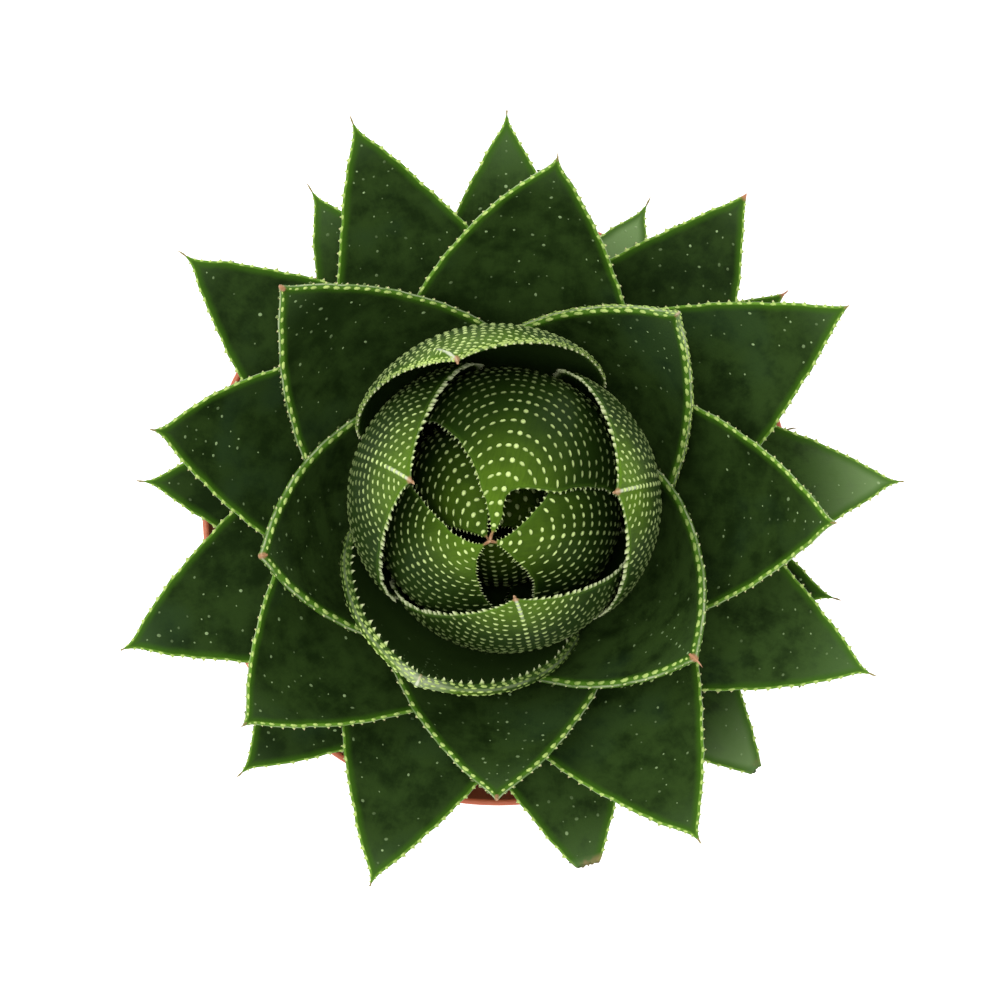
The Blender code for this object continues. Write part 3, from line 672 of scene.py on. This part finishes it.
def leafFinish():
    make = Finish("leafSkin")
    back, pale, rim = make.attribute("back"), make.attribute("pale"), make.attribute("rim")
    away, point, dry = make.attribute("tipDistance"), make.attribute("tooth"), make.attribute("dry")
    age, side, dried = make.attribute("age"), make.attribute("side"), make.attribute("dried")
    place = make.objectPlace()
    broad = make.noise(45, place, 3.0)
    cloud = make.noise(190, place, 4.0, 0.62)
    grain = make.noise(1400, place, 3.0, 0.6)
    fibre = make.noise(1.0, make.vector(side * 2.4, away * 0.22, age * 3.7), 3.0, 0.6)
    isBack = make.step(back, 0.3, 0.7)
    old = make.step(age, 9.0, 18.0)
    opened = make.step(age, 12.0, 13.0)
    upright = make.step(age, 10.0, 11.0) * (1 - make.step(age, 17.0, 18.0))
    fromTip = (away * away + side * side) ** 0.5
    # upper faces: nearly black green, lighter in soft patches, with painted light toward the tip and a painted bluish
    # sheen here and there
    patches = make.step(cloud * 0.6 + fibre * 0.07 + broad * 0.33, 0.40, 0.62)
    face = make.mix(patches, leafLook["face"], leafLook["faceLight"])
    # painted sheen: bluish patches on the faces
    face = make.mix(make.step(broad, 0.55, 0.72) * 0.6, face, leafLook["faceBlueSheen"])
    # young faces lighter: partly the young leaves' own paler green, partly painted fill light in the shaded bud
    face = make.mix((1 - opened) * 0.7, face, leafLook["youngFaceAndFill"])
    # painted light: faces lightened leaf by leaf for the light they catch and let through
    lit = make.attribute("paintedLightShare")
    face = make.mix(lit * make.step(cloud * 0.9 + fibre * 0.1, 0.25, 0.6) * 0.75, face, leafLook["paintedLightFace"])
    # painted light: the tips of the old leaves lightened as if light shone through them
    paintedBacklitTip = (1 - make.step(away + (cloud - 0.5) * 6.0, 1.0, 10.0 + lit * 10.0)) * (0.2 + lit * 0.45) * old
    face = make.mix(paintedBacklitTip, face, make.mix(make.step(lit, 0.8, 1.2), leafLook["tip"], leafLook["paintedLightPallid"]))
    face = make.mix(make.step(lit, 1.3, 2.0) * 0.8, face, leafLook["paintedLightPallid"])
    # backs: bright green at the tip, with painted shade darkening them away from it
    outerBud = make.step(age, 7.0, 8.0) * (1 - make.step(age, 10.0, 11.0))
    # painted shade: the backs darken away from the tip where the outer leaves shadow them
    deep = make.step(fromTip + (cloud - 0.5) * 6.0, 4.0 + old * 11.0, 24.0 + old * 13.0 - outerBud * 2.0)
    young = make.mix(deep, leafLook["back"], leafLook["backDarkAndShade"])
    # painted shade: whole backs darkened leaf by leaf in the bud
    young = make.mix(make.attribute("shaded") * (0.7 + cloud * 0.6), young, leafLook["backDarkAndShade"])
    under = make.mix(old, young, leafLook["oldBack"])
    under = make.mix(make.step(cloud * 0.5 + fibre * 0.5, 0.35, 0.7) * (0.35 + old * 0.2), under, leafLook["backDarkAndShade"])
    skin = make.mix(isBack, face, under)
    # light shows through the thin margin of the open leaves, which ends in a pale hard line
    glow = (1 - make.step(rim, 0.3, 2.3)) * (0.12 + opened * 0.68) * (1 - isBack * 0.5)
    skin = make.mix(glow, skin, leafLook["glow"])
    edge = (1 - make.step(rim, 0.05, 0.7)) * (0.15 + opened * 0.7) * (1 - upright * 0.7)
    skin = make.mix(edge, skin, leafLook["edge"])
    line = make.step(back, 0.40, 0.50) * (1 - make.step(back, 0.56, 0.68))
    skin = make.mix(line * make.step(cloud, 0.3, 0.6) * (0.25 + opened * 0.5), skin, leafLook["cartilage"])
    keeled = make.attribute("keel")
    frost = make.step(keeled, 1.2, 1.6) * (1 - make.step(away, 1.0, 7.0)) * make.step(back, 0.1, 0.3)
    skin = make.mix(frost * make.step(cloud, 0.35, 0.65) * 0.3, skin, leafLook["white"])
    keelLine = (1 - make.step(abs(make.attribute("fold")), 0.10, 0.4)) * isBack * make.step(keeled, 0.2, 0.8)
    skin = make.mix(keelLine * (1 - make.step(away, 5.0, 12.0)) * 0.75, skin, leafLook["white"])
    # painted shade: the studs dimmed away from the tip of the young leaves
    shadeOnStuds = 1 - make.step(fromTip, 12.0, 32.0 - outerBud * 5.0) * 0.75 * (1 - old)
    spot = make.mix(isBack, leafLook["bead"], leafLook["stud"])
    spot = make.mix(make.step(back, 0.05, 0.2), leafLook["freckle"], spot)
    skin = make.mix(pale * shadeOnStuds * 0.95, skin, spot)
    skin = make.mix(make.step(point, 0.3, 1.0) * 0.75, skin, leafLook["tooth"])
    skin = make.mix(make.step(point, 0.6, 1.0) * old * 0.5, skin, leafLook["pink"])
    nearTip = 1 - make.step(away + cloud * 0.5, 0.35 + dried * 0.5, 0.9 + dried * 1.1)
    skin = make.mix(nearTip * (0.5 + dried * 0.4), skin, make.mix(dried, leafLook["straw"], leafLook["pink"]))
    skin = make.mix(dry * 0.6, skin, make.mix(make.step(cloud, 0.4, 0.6), leafLook["straw"], leafLook["tip"]))
    height = cloud * 0.6 + grain * 0.25 + fibre * 0.15
    return make.paint({
        "Base Color": skin, "Roughness": leafLook["roughness"] + cloud * 0.14 + pale * 0.1,
        "Specular IOR Level": leafLook["specular"], "Normal": make.bump(height, 0.0004, 0.3),
    })


leafChannels = (
    "back", "side", "fold", "tipDistance", "rim", "pale", "tooth", "dry", "age", "keel", "dried", "paintedLightShare", "shaded",
)
print("leaves")
rng = np.random.default_rng(7)
leafSkin = leafFinish()
for number in range(1, plant["leaves"] + 1):
    leaf = Leaf(number, rng)
    skin = Skin(*leafChannels)
    leafBody(skin, leaf, rng)
    if number <= plant["lastStudded"]:
        backStuds(skin, leaf, rng)
    if number >= plant["firstFreckled"]:
        faceFreckles(skin, leaf, rng)
    marginTeeth(skin, leaf, rng)
    if number in plant["beadedMargins"]:
        marginRows(skin, leaf, rng)
    if leaf.end == 1 and number > 2 and tipSpine.get(number, 1):
        spine(skin, leaf, rng)
    skin.channels["keel"] = [np.full(skin.count, float(number in keel) + float(number in plant["frosted"]))]
    skin.channels["paintedLightShare"] = [np.full(skin.count, paintedLightShare.get(number, 0.0))]
    skin.channels["shaded"] = [np.full(skin.count, shaded.get(number, 0.0))]
    usualTip = 0.25 if number > plant["lastUpright"] else 0.6
    skin.channels["dried"] = [np.full(skin.count, tipColour.get(number, usualTip))]
    thing = skin.piece(f"aloeLeaf{number:02d}", leafSkin)
    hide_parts(f"leaf_{number:02d}")
    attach(thing, "root")


# Pot: a moulded nursery pot with a collar, a rolled rim, a raised ring and drainage holes

pot = {
    "height": 100.0, "rim": 59.2, "rimRound": 0.65, "collar": 13.0, "collarStep": 1.8, "collarTaper": 2.0,
    "foot": 43.0, "footRound": 1.6, "wall": 1.3, "drainRise": 3.0, "drainInner": 18.0, "drainOuter": 34.0,
    "slope": 1.0, "holes": 6, "holeRadius": 4.0, "sides": 144,
    "clay": (0.50, 0.115, 0.048), "sunned": (0.60, 0.185, 0.092), "unfaded": (0.33, 0.070, 0.030),
    "dirt": (0.20, 0.075, 0.040), "lime": (0.62, 0.42, 0.33),
}


def potProfile():
    collarFoot = pot["height"] - pot["collar"]
    collar = pot["rim"] - pot["collarTaper"]
    wall, slope, rise = pot["wall"], pot["slope"], pot["drainRise"]
    outside = [
        (0, 0), (pot["drainInner"] - slope, 0), (pot["drainInner"], rise), (pot["drainOuter"], rise),
        (pot["drainOuter"] + slope, 0), (pot["foot"] - pot["footRound"], 0),
        (pot["foot"] - pot["footRound"] * 0.3, pot["footRound"] * 0.3), (pot["foot"], pot["footRound"]),
        (collar - pot["collarStep"] - 0.12, collarFoot - slope - 0.5),
        (collar - pot["collarStep"] * 0.8, collarFoot - 0.75),
        (collar - 0.25, collarFoot - 0.3), (collar, collarFoot + 0.3),
    ]
    rimLow = pot["height"] - 2 * pot["rimRound"]
    outside += [(pot["rim"] - 0.25, rimLow - 2.4), (pot["rim"] - 0.05, rimLow - 1.9), (pot["rim"], rimLow - 1.4)]
    for turn in np.linspace(0, math.pi, 9):
        outside.append((
            pot["rim"] - pot["rimRound"] + pot["rimRound"] * math.cos(turn),
            pot["height"] - pot["rimRound"] + pot["rimRound"] * math.sin(turn),
        ))
    inner = pot["drainInner"] - wall
    outer = pot["drainOuter"] + wall
    foot = pot["foot"] - wall
    inside = [
        (pot["rim"] - wall - 0.05, pot["height"] - 3), (collar - wall, collarFoot + 0.6),
        (collar - wall - pot["collarStep"], collarFoot - 0.6), (foot, wall + pot["footRound"]), (foot - 0.6, wall),
        (outer, wall), (outer - slope, rise + wall), (inner + slope, rise + wall), (inner, wall), (0, wall),
    ]
    return outside + inside


def turnedMesh(profile, sides):
    made = bmesh.new()
    verts = [made.verts.new((r * mm, 0, z * mm)) for r, z in profile]
    edges = [made.edges.new(pair) for pair in zip(verts, verts[1:])]
    bmesh.ops.spin(
        made, geom=verts + edges, cent=(0, 0, 0), axis=(0, 0, 1), angle=2 * math.pi, steps=sides, use_merge=True,
    )
    bmesh.ops.remove_doubles(made, verts=made.verts, dist=0.01 * mm)
    bmesh.ops.recalc_face_normals(made, faces=made.faces)
    return made


def meshPiece(made, name, material, sharp=35):
    data = bpy.data.meshes.new(name)
    made.to_mesh(data)
    made.free()
    data.materials.append(material)
    data.shade_smooth()
    data.set_sharp_from_angle(angle=math.radians(sharp))
    return placed(name, data)


def potFinish():
    make = Finish("terracottaPlastic")
    place = make.objectPlace()
    cloud = make.noise(28, place, 4.0, 0.6)
    fine = make.noise(240, place, 4.0, 0.65)
    grain = make.noise(2200, place, 2.0)
    height = make.node("ShaderNodeSeparateXYZ", {}, {"Vector": place}, out="Z")
    colour = make.mix(make.step(cloud, 0.35, 0.7), pot["clay"], pot["sunned"])
    unfaded = (1 - make.step(height, 0.080, 0.099)) * (0.85 - cloud * 0.3)  # the rim has faded most
    colour = make.mix(unfaded, colour, pot["unfaded"])
    splash = make.step(fine * 0.6 + cloud * 0.4 - height * 3.0, 0.40, 0.62)
    colour = make.mix(splash * 0.35, colour, pot["dirt"])
    line = (1 - make.step(abs(height - 0.0905), 0.0, 0.0022)) * make.step(fine, 0.45, 0.7)
    colour = make.mix(line * 0.22, colour, pot["lime"])
    scratch = make.step(make.noise(90, make.vector(fine, cloud, height * 40.0), 2.0), 0.55, 0.8)
    return make.paint({
        "Base Color": colour, "Roughness": 0.34 + fine * 0.16 + splash * 0.25, "Specular IOR Level": 0.4,
        "Normal": make.bump(grain * 0.5 + scratch * 0.3 + fine * 0.2, 0.0003, 0.35),
    })


print("pot")
potPiece = meshPiece(turnedMesh(potProfile(), pot["sides"]), "nurseryPot", potFinish())
cutters = bmesh.new()
for i in range(pot["holes"]):
    turn = 2 * math.pi * (i + 0.5) / pot["holes"]
    ring = (pot["drainInner"] + pot["drainOuter"]) / 2
    hole = bmesh.ops.create_cone(
        cutters, cap_ends=True, segments=32, radius1=pot["holeRadius"] * mm, radius2=pot["holeRadius"] * mm,
        depth=3 * pot["drainRise"] * mm,
    )
    place = Vector((ring * math.cos(turn), ring * math.sin(turn), pot["drainRise"])) * mm
    bmesh.ops.translate(cutters, verts=hole["verts"], vec=place)
cutter = meshPiece(cutters, "drainCutter", potPiece.data.materials[0])
cut = potPiece.modifiers.new("drainHoles", "BOOLEAN")
cut.object = cutter
cut.operation = "DIFFERENCE"
whole = bpy.data.meshes.new_from_object(potPiece.evaluated_get(bpy.context.evaluated_depsgraph_get()))
potPiece.modifiers.clear()
potPiece.data = whole
bpy.data.objects.remove(cutter)
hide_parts("pot")
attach(potPiece, "root")


# Soil: a crumbly mound inside the collar, with loose crumbs, bits of bark and white grit on it

soil = {
    "edge": 84.9, "middle": 89.4, "radius": 53.6, "hole": 13.2, "rings": 44, "sides": 200, "crumbs": 900,
    "bottom": 8.0, "footGap": 2.2, "underStem": 86.0,
    "dark": (0.010, 0.0065, 0.0040), "brown": (0.060, 0.036, 0.020), "bark": (0.120, 0.060, 0.028),
    "grit": (0.62, 0.60, 0.55), "gritShade": (0.42, 0.40, 0.36),
}


def soilFinish(name, dark, light, rough):
    make = Finish(name)
    place = make.objectPlace()
    lump = make.noise(320, place, 5.0, 0.65)
    grain = make.noise(1700, place, 3.0)
    colour = make.mix(make.step(lump * 0.7 + grain * 0.3, 0.38, 0.66), dark, light)
    return make.paint({
        "Base Color": colour, "Roughness": rough + lump * 0.1, "Specular IOR Level": 0.15,
        "Normal": make.bump(lump * 0.6 + grain * 0.4, 0.0010, 0.9),
    })


def soilTop(x, y):
    # the mound's height in millimetres, with clods and fine crumb
    radius = math.hypot(x, y)
    share = min(max((soil["radius"] - radius) / (soil["radius"] - soil["hole"]), 0), 1)
    mound = soil["edge"] + (soil["middle"] - soil["edge"]) * math.sin(share * math.pi / 2)
    clods = noise.noise(Vector((x, y, 0)) / 9) * 0.7 + noise.noise(Vector((x, y, 5)) / 3) * 0.45
    crumb = abs(noise.noise(Vector((x, y, 9)) / 1.1)) * 0.5
    return mound + (clods + crumb) * min(share * 12, 1)


print("soil")
heap = Skin()
rings = np.linspace(soil["radius"], soil["hole"] - 1.5, soil["rings"])
turns = np.arange(soil["sides"]) / soil["sides"] * 2 * math.pi
footRadius = pot["foot"] - soil["footGap"]
rows = [[footRadius * np.cos(turns), footRadius * np.sin(turns), np.full(len(turns), soil["bottom"])]]
for radius in rings:
    x, y = radius * np.cos(turns), radius * np.sin(turns)
    rows.append([x, y, np.array([soilTop(a, b) for a, b in zip(x, y)])])
grid = np.array(rows).transpose(0, 2, 1)
first = heap.add(grid, gridFaces(len(rows), soil["sides"])[:, ::-1])
heap.cap(first, soil["sides"], (0, 0, soil["bottom"]), flip=True)
inner = first + (len(rows) - 1) * soil["sides"]
heap.cap(inner, soil["sides"], (plant["x"], plant["y"], soil["underStem"]), flip=False)
soilPiece = heap.piece("pottingSoil", soilFinish("pottingSoil", soil["dark"], soil["brown"], 0.88))
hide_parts("soil")
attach(soilPiece, "root")

ball = bmesh.new()
bmesh.ops.create_icosphere(ball, subdivisions=1, radius=1.0)
ballPoints = np.array([vertex.co[:] for vertex in ball.verts])
ballFaces = np.array([[vertex.index for vertex in face.verts] for face in ball.faces])
ball.free()
crumbKinds = {
    "soilCrumbs": {"share": 0.78, "size": (0.5, 1.3), "flat": 0.7, "dark": soil["dark"], "light": soil["brown"]},
    "barkBits": {"share": 0.15, "size": (0.9, 2.2), "flat": 0.4, "dark": soil["brown"], "light": soil["bark"]},
    "whiteGrit": {"share": 0.07, "size": (0.5, 1.0), "flat": 0.85, "dark": soil["gritShade"], "light": soil["grit"]},
}
for name, kind in crumbKinds.items():
    loose = Skin()
    for _ in range(int(soil["crumbs"] * kind["share"])):
        radius = soil["hole"] + 2 + (soil["radius"] - soil["hole"] - 4) * rng.random() ** 0.7
        turn = rng.uniform(0, 2 * math.pi)
        x, y = radius * math.cos(turn), radius * math.sin(turn)
        size = rng.uniform(*kind["size"])
        lumps = ballPoints * (1 + rng.uniform(-0.22, 0.22, (len(ballPoints), 1)))
        lumps = lumps * (size, size * rng.uniform(0.5, 0.9), size * kind["flat"])
        spin = np.array(Matrix.Rotation(rng.uniform(0, 6.3), 3, "Z") @ Matrix.Rotation(rng.normal(0, 0.3), 3, "X"))
        loose.add(lumps @ spin.T + (x, y, soilTop(x, y) + size * kind["flat"] * 0.35), ballFaces)
    crumbPiece = loose.piece(name, soilFinish(name, kind["dark"], kind["light"], 0.8), sharp=50)
    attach(crumbPiece, "root")


# Stem: hidden between the leaves, it keeps its CAD shape

stemLook = {"pale": (0.34, 0.33, 0.15), "brown": (0.16, 0.12, 0.06)}


def stemFinish():
    make = Finish("stemBark")
    place = make.objectPlace()
    sockets = {"Vector": place, "Scale": 160.0, "Distortion": 3.0}
    rings = make.node("ShaderNodeTexWave", {"bands_direction": "Z"}, sockets)
    cloud = make.noise(150, place, 3.0)
    colour = make.mix(make.step(cloud * 0.6 + rings * 0.4, 0.35, 0.7), stemLook["brown"], stemLook["pale"])
    return make.paint({
        "Base Color": colour, "Roughness": 0.62 + cloud * 0.2,
        "Normal": make.bump(rings * 0.6 + cloud * 0.4, 0.0008, 0.5),
    })


print("stem")
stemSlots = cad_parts["stem"].data.materials
stemSlots.clear()
stemSlots.append(stemFinish())


# Floor, light and camera

stage = {
    "floor": (0.80, 0.80, 0.80), "floorGlow": 0.85, "floorHalf": 4.0, "floorAt": -0.0003, "fill": 0.85,
    "overhead": {"place": (-0.35, 0.10, 1.30), "size": 1.2, "power": 13.0},
    "side": {"place": (0.5, 0.9, 0.9), "size": 0.8, "power": 1.5},
}


def floorFinish():
    make = Finish("paleFloor")
    return make.paint({
        "Base Color": stage["floor"], "Roughness": 0.85, "Specular IOR Level": 0.1,
        "Emission Color": (1.0, 1.0, 1.0), "Emission Strength": stage["floorGlow"],
    })


print("floor, light and camera")
half, level = stage["floorHalf"], stage["floorAt"]
corners = [(x * half, y * half, level) for x, y in ((-1, -1), (1, -1), (1, 1), (-1, 1))]
floorData = bpy.data.meshes.new("floor")
floorData.from_pydata(corners, [], [(0, 1, 2, 3)])
floorData.materials.append(floorFinish())
floor = placed("floor", floorData)


def softbox(name, place, size, power):
    lamp = bpy.data.lights.new(name, "AREA")
    lamp.shape = "DISK"
    lamp.size = size
    lamp.energy = power
    thing = placed(name, lamp)
    thing.location = place
    thing.rotation_euler = (Vector((0, 0, 0.14)) - Vector(place)).to_track_quat("-Z", "Y").to_euler()


softbox("overheadSoftbox", **stage["overhead"])
softbox("sideSoftbox", **stage["side"])
studio = bpy.data.worlds.new("studio")
studio.use_nodes = True
studio.node_tree.nodes["Background"].inputs["Color"].default_value = (1.0, 1.0, 1.0, 1.0)
studio.node_tree.nodes["Background"].inputs["Strength"].default_value = stage["fill"]
bpy.context.scene.world = studio
bpy.context.scene.view_settings.view_transform = "Standard"

# the photograph looks straight down: 200 mm across at the height of the pot's rim
view = {"x": 0.4, "y": 2.0, "rim": 100.0, "away": 750.0, "across": 200.0, "sensor": 36.0}
lens = bpy.data.cameras.new("camera")
lens.sensor_width = view["sensor"]
lens.lens = view["sensor"] * view["away"] / view["across"]
lens.clip_start = 0.01
camera = placed("camera", lens)
camera.location = (view["x"] * mm, view["y"] * mm, (view["rim"] + view["away"]) * mm)
bpy.context.scene.camera = camera
